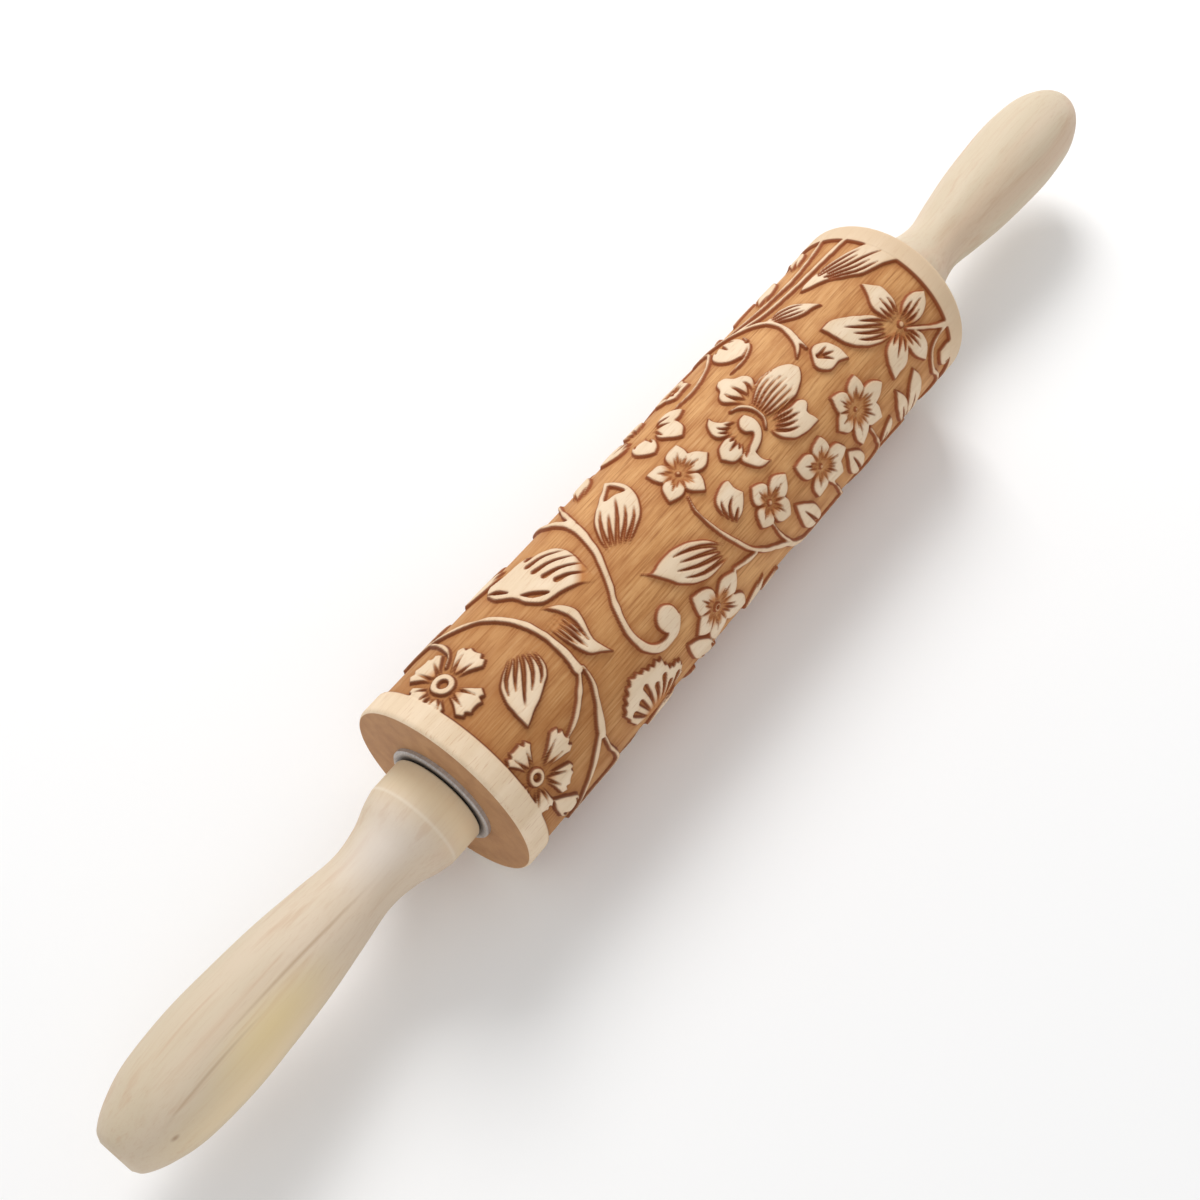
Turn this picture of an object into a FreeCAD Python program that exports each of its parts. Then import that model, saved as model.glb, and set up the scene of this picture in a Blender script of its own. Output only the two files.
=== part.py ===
"""Embossing rolling pin: a turned wooden roller that spins on ball bearings between two fixed handles.

The pin's axis lies along X and Z is up. The origin is the centre of the roller, on its axis.
A steel axle runs through the roller. A spacer tube on it holds two ball bearings apart. Each bearing
sits in a flanged steel cup that is pressed into the roller's end. A jam nut and a washer hold the
bearing's inner ring against the tube. Each handle has a threaded insert that screws onto the axle's
end until it meets the nut. The roller, the cups, the outer rings and the shields spin together.
The handles, the axle, the tube, the nuts and the inner rings stay still.

Both ends are alike. Every piece of an end is drawn for the right end, at +X, and turned half a turn
about Z for the left one. All sizes are in millimetres. An outline is a list of (x, radius) points.
"""

import FreeCAD, Part
import math
import os

Vector = FreeCAD.Vector
ORIGIN = Vector(0, 0, 0)
AXIS = Vector(1, 0, 0)
UP = Vector(0, 0, 1)

# Roller
ROLLER_DIAMETER = 50.0
ROLLER_LENGTH = 182.0
ROLLER_EDGE_LENGTH = 1.2  # of the eased rim, along the axis
ROLLER_EDGE_DROP = 0.5  # of the eased rim, in radius
FACE = ROLLER_LENGTH / 2  # x of the roller's right end face
ROLLER_RADIUS = ROLLER_DIAMETER / 2
THROUGH_BORE_RADIUS = 6.5

# Handles
OVERALL_LENGTH = 378.0
HANDLE_GAP = 1.5  # from the roller's end face to the handle
HANDLE_START = FACE + HANDLE_GAP
HANDLE_END = OVERALL_LENGTH / 2
COLLAR_LENGTH = 9.0
COLLAR_RADIUS = 12.0  # at the roller
COLLAR_TIP_RADIUS = 11.9  # at the arris where the neck's cove starts
NECK_RADIUS = 8.2
GRIP_RADIUS = 12.2  # at the fullest place of the grip
END_FLAT_RADIUS = 4.2
MOUTH_CHAMFER = 0.5
PILOT_CLEARANCE = 0.1
PILOT_SPARE = 2.0  # of empty bore past the axle's end

# Ball bearing, of the common 8 x 22 x 7 size
BEARING_BORE_RADIUS = 4.0
BEARING_RADIUS = 11.0
BEARING_WIDTH = 7.0
BALL_RADIUS = 3.969 / 2
BALL_PITCH_RADIUS = 7.5
BALL_COUNT = 7
BALL_PLAY = 0.03
INNER_LAND_RADIUS = 6.05
OUTER_LAND_RADIUS = 9.6
SHIELD_SEAT_RADIUS = 10.0
SHIELD_HOLE_RADIUS = 6.4
SHIELD_THICKNESS = 0.3
SHIELD_INSET = 0.45  # from the bearing's side to the shield
SHIELD_SEAT_DEPTH = 0.8
CAGE_INNER_RADIUS = 6.9
CAGE_OUTER_RADIUS = 8.1
CAGE_HALF_WIDTH = 2.4
CAGE_POCKET_PLAY = 0.1
RING_CHAMFER = 0.3

# Bearing cup
CUP_WALL = 0.8
CUP_FLOOR = 1.0
CUP_FLOOR_HOLE_RADIUS = 7.5
CUP_MOUTH_DEPTH = 2.0  # from the roller's face to the bearing's outer side
FLANGE_RADIUS = 13.7
FLANGE_THICKNESS = 1.2
FLANGE_EDGE = 0.35
CUP_RADIUS = BEARING_RADIUS + CUP_WALL
SEAT_SPARE = 0.3  # of empty depth behind the cup's floor
PRESS_GAP = 0.01  # radial room that stands for a press fit

# Axle, spacer tube, washers and nuts
AXLE_RADIUS = 4.0
AXLE_LENGTH = 248.0
AXLE_CHAMFER = 1.0
THREAD_PITCH = 1.25
THREAD_ROOT_RADIUS = 3.35
TUBE_RADIUS = 6.0
RUNNING_GAP = 0.03  # radial room on what slides over the axle
WASHER_RADIUS = 6.0
WASHER_THICKNESS = 1.0
NUT_ACROSS_FLATS = 13.0
NUT_THICKNESS = 4.0
NUT_CHAMFER = 0.9
NUT_RECESS_RADIUS = 8.2

# Threaded insert in the handle
INSERT_RADIUS = 6.0
INSERT_LENGTH = 15.0
INSERT_ROOT_RADIUS = 5.2
INSERT_PITCH = 2.5
INSERT_LEAD_IN = 1.5

# Places along X, for the right end
BEARING_OUTER_X = FACE - CUP_MOUTH_DEPTH
BEARING_INNER_X = BEARING_OUTER_X - BEARING_WIDTH
BEARING_X = (BEARING_OUTER_X + BEARING_INNER_X) / 2
CUP_FLOOR_X = BEARING_INNER_X - CUP_FLOOR
WASHER_OUTER_X = BEARING_OUTER_X + WASHER_THICKNESS
NUT_OUTER_X = WASHER_OUTER_X + NUT_THICKNESS
INSERT_OUTER_X = NUT_OUTER_X + INSERT_LENGTH
AXLE_END = AXLE_LENGTH / 2


# ---------------------------------------------------------------- helpers


def at(x, radius):
    """A point of an outline, drawn in the XY plane."""
    return Vector(x, radius, 0)


def spun(edges):
    """The solid that a closed outline of edges sweeps when it turns about the axis."""
    face = Part.Face(Part.Wire(edges))
    return Part.Solid(face.revolve(ORIGIN, AXIS, 360))


def lines(points):
    """Straight edges through the points."""
    return [Part.makeLine(at(*a), at(*b)) for a, b in zip(points, points[1:])]


def turned(points):
    """The solid of revolution whose outline is the closed polygon through the points."""
    return spun(lines(points + points[:1]))


def ring(x0, x1, inner_radius, outer_radius):
    """A plain ring between two places on the axis."""
    return turned([(x0, inner_radius), (x1, inner_radius), (x1, outer_radius), (x0, outer_radius)])


def thread_points(x0, x1, crest, root, pitch):
    """Outline points of a thread from x0 to x1, drawn as rings of the thread's pitch and depth."""
    turns = int(abs(x1 - x0) // pitch)
    step = math.copysign(pitch, x1 - x0)
    points = []
    for turn in range(turns):
        start = x0 + turn * step
        points += [(start, crest), (start + step / 2, root)]
    return points + [(x0 + turns * step, crest)]


# ---------------------------------------------------------------- roller


def roller_rim():
    """The eased rim, from the roller's side to the arris at its right end face."""
    drop = ROLLER_EDGE_DROP
    length = ROLLER_EDGE_LENGTH
    arc_radius = (length**2 + drop**2) / (2 * drop)
    half_angle = math.asin(length / arc_radius) / 2
    start_x = FACE - length
    start = at(start_x, ROLLER_RADIUS)
    middle = at(
        start_x + arc_radius * math.sin(half_angle),
        ROLLER_RADIUS - arc_radius * (1 - math.cos(half_angle)),
    )
    return Part.Arc(start, middle, at(FACE, ROLLER_RADIUS - drop)).toShape()


def make_roller():
    """The wooden roller: a cylinder with a through bore and a seat for a bearing cup in each end."""
    rim = roller_rim()
    other_rim = rim.mirror(ORIGIN, AXIS)
    side_end = FACE - ROLLER_EDGE_LENGTH
    arris_radius = ROLLER_RADIUS - ROLLER_EDGE_DROP
    seat_x = CUP_FLOOR_X - SEAT_SPARE
    seat_radius = CUP_RADIUS + PRESS_GAP
    inside = [
        (FACE, arris_radius),
        (FACE, seat_radius),
        (seat_x, seat_radius),
        (seat_x, THROUGH_BORE_RADIUS),
        (-seat_x, THROUGH_BORE_RADIUS),
        (-seat_x, seat_radius),
        (-FACE, seat_radius),
        (-FACE, arris_radius),
    ]
    side = lines([(-side_end, ROLLER_RADIUS), (side_end, ROLLER_RADIUS)])
    return spun(side + [rim] + lines(inside) + [other_rim])


# ---------------------------------------------------------------- axle and tube


def make_axle():
    """The steel rod, plain between the bearings' outer sides and threaded from there to its ends."""
    body_end = AXLE_END - AXLE_CHAMFER
    right = thread_points(BEARING_OUTER_X, body_end, AXLE_RADIUS, THREAD_ROOT_RADIUS, THREAD_PITCH)
    right += [(AXLE_END, THREAD_ROOT_RADIUS), (AXLE_END, 0)]
    left = [(-x, radius) for x, radius in reversed(right)]
    return turned(left + right)


def make_spacer_tube():
    """The tube on the axle that keeps the two inner rings apart."""
    return ring(-BEARING_INNER_X, BEARING_INNER_X, AXLE_RADIUS + RUNNING_GAP, TUBE_RADIUS)


# ---------------------------------------------------------------- pieces of the right end


def make_cup():
    """The pressed steel cup that holds the bearing, with a flange on the roller's end face."""
    flange_x = FACE + FLANGE_THICKNESS
    return turned(
        [
            (CUP_FLOOR_X, CUP_FLOOR_HOLE_RADIUS),
            (BEARING_INNER_X, CUP_FLOOR_HOLE_RADIUS),
            (BEARING_INNER_X, BEARING_RADIUS + PRESS_GAP),
            (flange_x - FLANGE_EDGE, BEARING_RADIUS + PRESS_GAP),
            (flange_x, BEARING_RADIUS + PRESS_GAP + FLANGE_EDGE),
            (flange_x, FLANGE_RADIUS - FLANGE_EDGE),
            (flange_x - FLANGE_EDGE, FLANGE_RADIUS),
            (FACE, FLANGE_RADIUS),
            (FACE, CUP_RADIUS),
            (CUP_FLOOR_X + CUP_WALL, CUP_RADIUS),
            (CUP_FLOOR_X, CUP_RADIUS - CUP_WALL),
        ]
    )


def ball_track():
    """The torus that the balls run in, cut from both rings."""
    return Part.makeTorus(BALL_PITCH_RADIUS, BALL_RADIUS + BALL_PLAY, Vector(BEARING_X, 0, 0), AXIS)


def make_outer_ring():
    """The bearing's outer ring, stepped at both sides for the shields."""
    seat = SHIELD_SEAT_DEPTH
    blank = turned(
        [
            (BEARING_INNER_X, SHIELD_SEAT_RADIUS),
            (BEARING_INNER_X + seat, SHIELD_SEAT_RADIUS),
            (BEARING_INNER_X + seat, OUTER_LAND_RADIUS),
            (BEARING_OUTER_X - seat, OUTER_LAND_RADIUS),
            (BEARING_OUTER_X - seat, SHIELD_SEAT_RADIUS),
            (BEARING_OUTER_X, SHIELD_SEAT_RADIUS),
            (BEARING_OUTER_X, BEARING_RADIUS - RING_CHAMFER),
            (BEARING_OUTER_X - RING_CHAMFER, BEARING_RADIUS),
            (BEARING_INNER_X + RING_CHAMFER, BEARING_RADIUS),
            (BEARING_INNER_X, BEARING_RADIUS - RING_CHAMFER),
        ]
    )
    return blank.cut(ball_track())


def make_inner_ring():
    """The bearing's inner ring, on the axle."""
    bore = BEARING_BORE_RADIUS + PRESS_GAP
    blank = turned(
        [
            (BEARING_INNER_X, bore + RING_CHAMFER),
            (BEARING_INNER_X + RING_CHAMFER, bore),
            (BEARING_OUTER_X - RING_CHAMFER, bore),
            (BEARING_OUTER_X, bore + RING_CHAMFER),
            (BEARING_OUTER_X, INNER_LAND_RADIUS),
            (BEARING_INNER_X, INNER_LAND_RADIUS),
        ]
    )
    return blank.cut(ball_track())


def ball_centres():
    """Where the balls' centres are, evenly round the pitch circle."""
    angles = [2 * math.pi * k / BALL_COUNT for k in range(BALL_COUNT)]
    return [
        Vector(BEARING_X, BALL_PITCH_RADIUS * math.cos(a), BALL_PITCH_RADIUS * math.sin(a))
        for a in angles
    ]


def make_balls():
    """The steel balls, as separate solids in one node."""
    return Part.Compound([Part.makeSphere(BALL_RADIUS, centre) for centre in ball_centres()])


def make_cage():
    """The cage: a ring with a round hole drilled through it for each ball."""
    blank = ring(
        BEARING_X - CAGE_HALF_WIDTH, BEARING_X + CAGE_HALF_WIDTH, CAGE_INNER_RADIUS, CAGE_OUTER_RADIUS
    )
    pocket_radius = BALL_RADIUS + CAGE_POCKET_PLAY
    for centre in ball_centres():
        outward = Vector(0, centre.y, centre.z)
        foot = Vector(BEARING_X, 0, 0)
        blank = blank.cut(Part.makeCylinder(pocket_radius, ROLLER_RADIUS, foot, outward))
    return blank


def make_outer_shield():
    """The thin steel shield on the bearing's outer side, clipped into the outer ring."""
    side = BEARING_OUTER_X - SHIELD_INSET
    return ring(side - SHIELD_THICKNESS, side, SHIELD_HOLE_RADIUS, SHIELD_SEAT_RADIUS - PRESS_GAP)


def make_inner_shield():
    """The same shield on the bearing's inner side."""
    side = BEARING_INNER_X + SHIELD_INSET
    return ring(side, side + SHIELD_THICKNESS, SHIELD_HOLE_RADIUS, SHIELD_SEAT_RADIUS - PRESS_GAP)


def make_washer():
    """The washer that touches only the bearing's inner ring."""
    return ring(BEARING_OUTER_X, WASHER_OUTER_X, AXLE_RADIUS + RUNNING_GAP, WASHER_RADIUS)


def make_jam_nut():
    """The thin hexagon nut, chamfered on both sides."""
    corner = NUT_ACROSS_FLATS / math.sqrt(3)
    points = [
        Vector(WASHER_OUTER_X, corner * math.cos(k * math.pi / 3), corner * math.sin(k * math.pi / 3))
        for k in range(7)
    ]
    hexagon = Part.Face(Part.makePolygon(points)).extrude(AXIS * NUT_THICKNESS)
    chamfered = turned(
        [
            (WASHER_OUTER_X, 0),
            (NUT_OUTER_X, 0),
            (NUT_OUTER_X, corner - NUT_CHAMFER),
            (NUT_OUTER_X - NUT_CHAMFER / 2, corner),
            (WASHER_OUTER_X + NUT_CHAMFER / 2, corner),
            (WASHER_OUTER_X, corner - NUT_CHAMFER),
        ]
    )
    bore = ring(WASHER_OUTER_X, NUT_OUTER_X, 0, AXLE_RADIUS + RUNNING_GAP)
    return hexagon.common(chamfered).cut(bore)


def make_insert():
    """The brass insert in the handle, with a coarse outside thread that bites into the wood."""
    tail = INSERT_OUTER_X - INSERT_LEAD_IN
    outside = thread_points(tail, NUT_OUTER_X, INSERT_RADIUS, INSERT_ROOT_RADIUS, INSERT_PITCH)
    bore = AXLE_RADIUS + RUNNING_GAP
    return turned(
        [(NUT_OUTER_X, bore), (INSERT_OUTER_X, bore), (INSERT_OUTER_X, INSERT_ROOT_RADIUS)]
        + outside
        + [(NUT_OUTER_X, INSERT_RADIUS)]
    )


def handle_outline():
    """The handle's outside: a tapered collar, an arris, a cove down to the neck and a swelling grip."""
    arris = (HANDLE_START + COLLAR_LENGTH, COLLAR_TIP_RADIUS)
    through = [
        arris,
        (HANDLE_START + 12.5, 11.0),
        (HANDLE_START + 18, 9.1),
        (HANDLE_START + 25.5, NECK_RADIUS),
        (HANDLE_START + 35.5, 9.5),
        (HANDLE_START + 47, 10.95),
        (HANDLE_START + 59, 11.8),
        (HANDLE_START + 71, GRIP_RADIUS),
        (HANDLE_START + 83, 11.3),
        (HANDLE_START + 90.5, 9.1),
        (HANDLE_END - 1.4, 6.5),
        (HANDLE_END, END_FLAT_RADIUS),
    ]
    grip = Part.BSplineCurve()
    grip.interpolate(
        Points=[at(*p) for p in through],
        InitialTangent=Vector(0.97, -0.25, 0),
        FinalTangent=Vector(0.25, -0.97, 0),
    )
    mouth = [
        (HANDLE_START, COLLAR_RADIUS - MOUTH_CHAMFER),
        (HANDLE_START + MOUTH_CHAMFER, COLLAR_RADIUS),
        arris,
    ]
    return lines(mouth) + [grip.toShape()]


def make_handle():
    """The turned wooden handle, bored for the axle, its insert and the outer part of the nut."""
    pilot_end = AXLE_END + PILOT_SPARE
    pilot_radius = AXLE_RADIUS + PILOT_CLEARANCE
    insert_radius = INSERT_RADIUS + PRESS_GAP
    inside = [
        (HANDLE_END, END_FLAT_RADIUS),
        (HANDLE_END, 0),
        (pilot_end, 0),
        (pilot_end, pilot_radius),
        (INSERT_OUTER_X, pilot_radius),
        (INSERT_OUTER_X, insert_radius),
        (NUT_OUTER_X, insert_radius),
        (NUT_OUTER_X, NUT_RECESS_RADIUS),
        (HANDLE_START, NUT_RECESS_RADIUS),
        (HANDLE_START, COLLAR_RADIUS - MOUTH_CHAMFER),
    ]
    return spun(handle_outline() + lines(inside))


# ---------------------------------------------------------------- assembly

END_PIECES = {
    "handle": make_handle,
    "threaded_insert": make_insert,
    "jam_nut": make_jam_nut,
    "thrust_washer": make_washer,
    "bearing_cup": make_cup,
    "bearing_outer_ring": make_outer_ring,
    "bearing_inner_ring": make_inner_ring,
    "bearing_balls": make_balls,
    "bearing_cage": make_cage,
    "bearing_outer_shield": make_outer_shield,
    "bearing_inner_shield": make_inner_shield,
}


def save(name, shape):
    """Writes one node's STEP file, after checking that its solids are sound."""
    if not shape.isValid() or not shape.Solids:
        raise ValueError(name + " is not a valid solid")
    shape.exportStep(os.path.join("parts", name + ".step"))


def main():
    os.makedirs("parts", exist_ok=True)
    save("roller", make_roller())
    save("axle_rod", make_axle())
    save("spacer_tube", make_spacer_tube())
    for name, make in END_PIECES.items():
        right = make()
        left = right.copy()
        left.rotate(ORIGIN, UP, 180)
        save("right_" + name, right)
        save("left_" + name, left)


main()
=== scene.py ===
"""Looks of the embossing rolling pin: the carved roller, the turned handles, materials, light and camera.

The relief is drawn on the roller's side unrolled flat: x runs along the pin's axis and s runs round the
roller, both in millimetres. The pattern fills half of the way round and is repeated once.
"""

import math

import bpy
import numpy as np
from mathutils import Matrix, Vector


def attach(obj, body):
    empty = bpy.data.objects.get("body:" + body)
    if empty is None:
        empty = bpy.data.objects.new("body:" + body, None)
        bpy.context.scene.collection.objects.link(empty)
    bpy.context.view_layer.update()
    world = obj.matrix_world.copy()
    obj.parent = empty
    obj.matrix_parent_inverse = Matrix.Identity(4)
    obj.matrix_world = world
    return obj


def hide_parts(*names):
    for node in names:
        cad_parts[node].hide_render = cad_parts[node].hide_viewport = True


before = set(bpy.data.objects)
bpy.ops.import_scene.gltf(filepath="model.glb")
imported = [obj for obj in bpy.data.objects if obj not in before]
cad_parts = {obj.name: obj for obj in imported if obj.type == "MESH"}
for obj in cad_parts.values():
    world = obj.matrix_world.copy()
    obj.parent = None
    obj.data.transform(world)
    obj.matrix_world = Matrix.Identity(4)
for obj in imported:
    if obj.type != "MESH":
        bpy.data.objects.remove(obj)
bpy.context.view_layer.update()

MM = 0.001

# Roller, in millimetres, as in the CAD
FACE = 91.0
RADIUS = 25.0
RIM_LENGTH = 1.2
RIM_DROP = 0.5
RIM_STEPS = 8  # rings of points on the eased rim
ARRIS = 0.12  # of the sharp corner between the rim and the end face
FACE_RING = 18.0  # radius of a ring of points halfway across the end face
SEAT_RADIUS = 11.81
SEAT_DEPTH = 10.3
BORE_RADIUS = 6.5

# Relief
FIELD_END = 84.6  # the carved field reaches this far from the middle, both ways
RELIEF_DEPTH = 0.9
WALL = 0.5  # width of the sloping wall round each raised shape
GROOVE_WALL = 0.4  # width of a groove's sloping wall
EASED = 0.10  # how much lower the wood is at the top edge of a raised shape
EASED_WIDTH = 0.5
WOBBLE = 0.07  # how far the cut outlines stray
WOBBLE_WIDTH = 0.9
WOBBLE_SEED = 3
VINE_TRIM = 0.08  # taken off each side of every stem
LEAST_STEM = 0.28  # half-width of the thinnest stem that can be cut
PERIOD = math.pi * RADIUS  # the pattern's repeat, half of the way round
GROOVE_DEPTH = 0.85  # of the relief's depth
POINT_WIDTH = 0.02  # half-width of a groove's thin end
FAN_GROOVE_DEPTH = 0.7  # of the grooves in a fan-shaped petal
FAN_GROOVE_WALL = 0.45
FAN_GROOVE_START = 0.42  # their half-width at the thick end
LEAF_STEPS = 21  # points along each side of a leaf
NARROWED = 0.45  # share of a leaf's length over which its base is made narrower
ROWS = 268  # of the height map, round one repeat
COLUMNS = 606  # of the height map, along the roller's straight side
WINDOW_MARGIN = 1.5  # kept free round each shape while it is drawn
SIDE_END = FACE - RIM_LENGTH
FIRST_S = -PERIOD / 2
STEP_S = PERIOD / ROWS
VIEW_ANGLE = math.radians(110)  # where s = 0 is, from +Y towards +Z


# ---------------------------------------------------------------- height map

grid_x = np.linspace(-SIDE_END, SIDE_END, COLUMNS)
height = np.zeros((ROWS, COLUMNS))  # 0 on the ground, 1 on the uncut wood


def blur(field, radius):
    """The field averaged over a soft round spot of the given radius in millimetres."""
    step_x = grid_x[1] - grid_x[0]
    wide = np.hstack([field, field[:, ::-1]])
    along = np.fft.fftfreq(wide.shape[1], step_x)
    around = np.fft.fftfreq(wide.shape[0], STEP_S)
    keep = np.exp(-2 * (math.pi * radius) ** 2 * (along[None, :] ** 2 + around[:, None] ** 2))
    return np.fft.ifft2(np.fft.fft2(wide) * keep).real[:, : field.shape[1]]


def uneven(seed, radius):
    """A smooth random field with a spread of 1, and hills about as wide as the given radius."""
    field = blur(np.random.default_rng(seed).normal(size=height.shape), radius)
    return field / field.std()


wobble = WOBBLE * uneven(WOBBLE_SEED, WOBBLE_WIDTH)


def window(points):
    """The part of the height map round some points: its index, and the x and s of each place."""
    low = points[:, :2].min(0) - WINDOW_MARGIN
    high = points[:, :2].max(0) + WINDOW_MARGIN
    first = math.floor((low[1] - FIRST_S) / STEP_S)
    last = math.ceil((high[1] - FIRST_S) / STEP_S)
    rows = np.arange(first, last + 1)
    columns = np.nonzero((grid_x >= low[0]) & (grid_x <= high[0]))[0]
    x, s = np.meshgrid(grid_x[columns], FIRST_S + rows * STEP_S)
    return np.ix_(rows % ROWS, columns), x, s


def window_round(centre, radius):
    """The part of the height map round a spot: its index, and each place's x and s from the spot."""
    centre = np.array(centre, float)
    index, x, s = window(np.array([centre - radius, centre + radius]))
    return index, x - centre[0], s - centre[1]


def smooth(points, steps=8):
    """A smooth line through the points. Each may carry more numbers than x and s."""
    p = np.array(points, float)
    p = np.vstack([2 * p[0] - p[1], p, 2 * p[-1] - p[-2]])
    t = (np.arange(steps) / steps)[:, None]
    runs = []
    for a, b, c, d in zip(p, p[1:], p[2:], p[3:]):
        bend = (2 * a - 5 * b + 4 * c - d) * t**2 + (3 * b - a - 3 * c + d) * t**3
        runs.append(b + ((c - a) * t + bend) / 2)
    return np.vstack(runs + [p[-2:-1]])


def ramp(value):
    """0 below 0, 1 above 1, and a smooth step between."""
    value = np.clip(value, 0, 1)
    return value * value * (3 - 2 * value)


def line_distance(x, s, line, half_widths):
    """Distance from each place to a line, less the line's half-width there."""
    best = np.full(x.shape, 1e3)
    for a, b, wa, wb in zip(line, line[1:], half_widths, half_widths[1:]):
        run = b[:2] - a[:2]
        share = ((x - a[0]) * run[0] + (s - a[1]) * run[1]) / max(run @ run, 1e-9)
        share = np.clip(share, 0, 1)
        gap = np.hypot(x - a[0] - share * run[0], s - a[1] - share * run[1])
        best = np.minimum(best, gap - wa - share * (wb - wa))
    return best


def inside_distance(x, s, outline):
    """Distance from each place to a closed outline, positive inside it."""
    closed = np.vstack([outline, outline[:1]])
    gap = line_distance(x, s, closed, np.zeros(len(closed)))
    inside = np.zeros(x.shape, bool)
    for a, b in zip(closed, closed[1:]):
        crosses = (a[1] > s) != (b[1] > s)
        rise = b[1] - a[1] if b[1] != a[1] else 1e-9
        inside ^= crosses & (x < a[0] + (b[0] - a[0]) * (s - a[1]) / rise)
    return np.where(inside, gap, -gap)


def raise_shape(index, distance, level=1.0):
    """Raises the wood inside a shape, with a sloping wall and a slightly eased top edge."""
    distance = distance + wobble[index]
    eased = level * (1 - EASED * np.exp(-np.maximum(distance, 0) / EASED_WIDTH))
    shape = eased * ramp(distance / WALL + 0.5)
    height[index] = np.maximum(height[index], shape)


def sink_shape(index, distance, depth=1.0):
    """Cuts the wood away inside a shape."""
    height[index] *= 1 - depth * ramp(distance / WALL + 0.5)


def vine(points):
    """A raised stem. Each point is x, s and the stem's half-width."""
    line = smooth(points)
    index, x, s = window(line)
    raise_shape(index, -line_distance(x, s, line, np.maximum(line[:, 2] - VINE_TRIM, LEAST_STEM)))


def blob(points):
    """A raised shape inside a smooth closed outline."""
    outline = smooth(list(points) + [points[0]])[:-1]
    index, x, s = window(outline)
    raise_shape(index, inside_distance(x, s, outline))


def hollow(points):
    """A cut with a smooth closed outline."""
    outline = smooth(list(points) + [points[0]])[:-1]
    index, x, s = window(outline)
    sink_shape(index, inside_distance(x, s, outline))


def disc(centre, radius, level=1.0):
    """A raised round dot."""
    index, x, s = window_round(centre, radius)
    raise_shape(index, radius - np.hypot(x, s), level)


def pit(centre, radius, depth=1.0):
    """A round cut."""
    index, x, s = window_round(centre, radius)
    sink_shape(index, radius - np.hypot(x, s), depth)


def even(line, count):
    """The same line with its points evenly spaced."""
    run = np.r_[0, np.cumsum(np.hypot(*np.diff(line[:, :2], axis=0).T))]
    want = np.linspace(0, run[-1], count)
    return np.column_stack([np.interp(want, run, column) for column in line.T])


def leaf(left, right, grooves=3, end=0.6, width=0.45, fan=(0.16, 0.84), scoop=0.9, reach=0.3, start=0.03,
         shorten=0.3, pinch=0.4):
    """A leaf or a petal between two sides, each given from the base to the tip.

    It is hollowed by scoop at its base, up to reach of the way to its tip, and the base is made
    narrower by pinch. The grooves fan out from the base between the two shares of the width in fan.
    They begin at start of their own length and end at end of the way to the tip, and the outer ones
    are shorter by shorten. Their half-width follows from width.
    """
    left = even(smooth(left), LEAF_STEPS)
    right = even(smooth(right), LEAF_STEPS)
    middle = (left + right) / 2
    shares = np.linspace(0, 1, LEAF_STEPS)
    kept = 1 - pinch * (1 - ramp(shares / NARROWED))[:, None]
    left = middle + kept * (left - middle)
    right = middle + kept * (right - middle)
    outline = np.vstack([left, right[::-1]])
    index, x, s = window(outline)
    distance = inside_distance(x, s, outline)
    base = (left[0] + right[0]) / 2
    along = left[-1] - base
    t_here = ((x - base[0]) * along[0] + (s - base[1]) * along[1]) / (along @ along)
    level = 1 - scoop * (1 - ramp(t_here / reach))
    places = np.linspace(start, 1, LEAF_STEPS) * end
    for number in range(grooves):
        share = fan[0] + (fan[1] - fan[0]) * (0.5 if grooves == 1 else number / (grooves - 1))
        stagger = 0.09 * math.sin(2.6 * number + left[0, 0])
        own = places * (1 - shorten * abs(2 * share - 1) - stagger)
        side_a = np.column_stack([np.interp(own, shares, c) for c in left.T])
        side_b = np.column_stack([np.interp(own, shares, c) for c in right.T])
        line = (side_a * (1 - share) + side_b * share)[::3]
        taper = np.linspace(0, 1, len(line))
        gap = line_distance(x, s, line, width * (0.6 + 1.6 * taper) * (1 - taper) + POINT_WIDTH)
        level = level - GROOVE_DEPTH * ramp(0.5 - gap / GROOVE_WALL)
    raise_shape(index, distance, np.maximum(level, 0.0))


def petal(base, tip, half_width, peak=0.55, foot=0.35, point=0.9, **detail):
    """A petal with even sides, widest at peak of the way from its base to its tip."""
    base = np.array(base, float)
    along = np.array(tip, float) - base
    side = np.array([-along[1], along[0]]) / math.hypot(*along)
    t = np.linspace(0, 1, 12)
    swell = np.sin(math.pi * t ** (math.log(0.5) / math.log(peak))) ** point
    half = half_width * (foot * (1 - t) ** 2 + (1 - foot * (1 - t) ** 2) * swell)
    middle = base + np.outer(t, along)
    leaf(middle - np.outer(half, side), middle + np.outer(half, side), **detail)


def edge_reach(reaches, shares):
    """The reach of a fan's outer edge at shares from -1 to 1 along it, from one reach or several."""
    reaches = np.atleast_1d(reaches)
    return np.interp(shares, np.linspace(-1, 1, len(reaches)), reaches)


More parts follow.
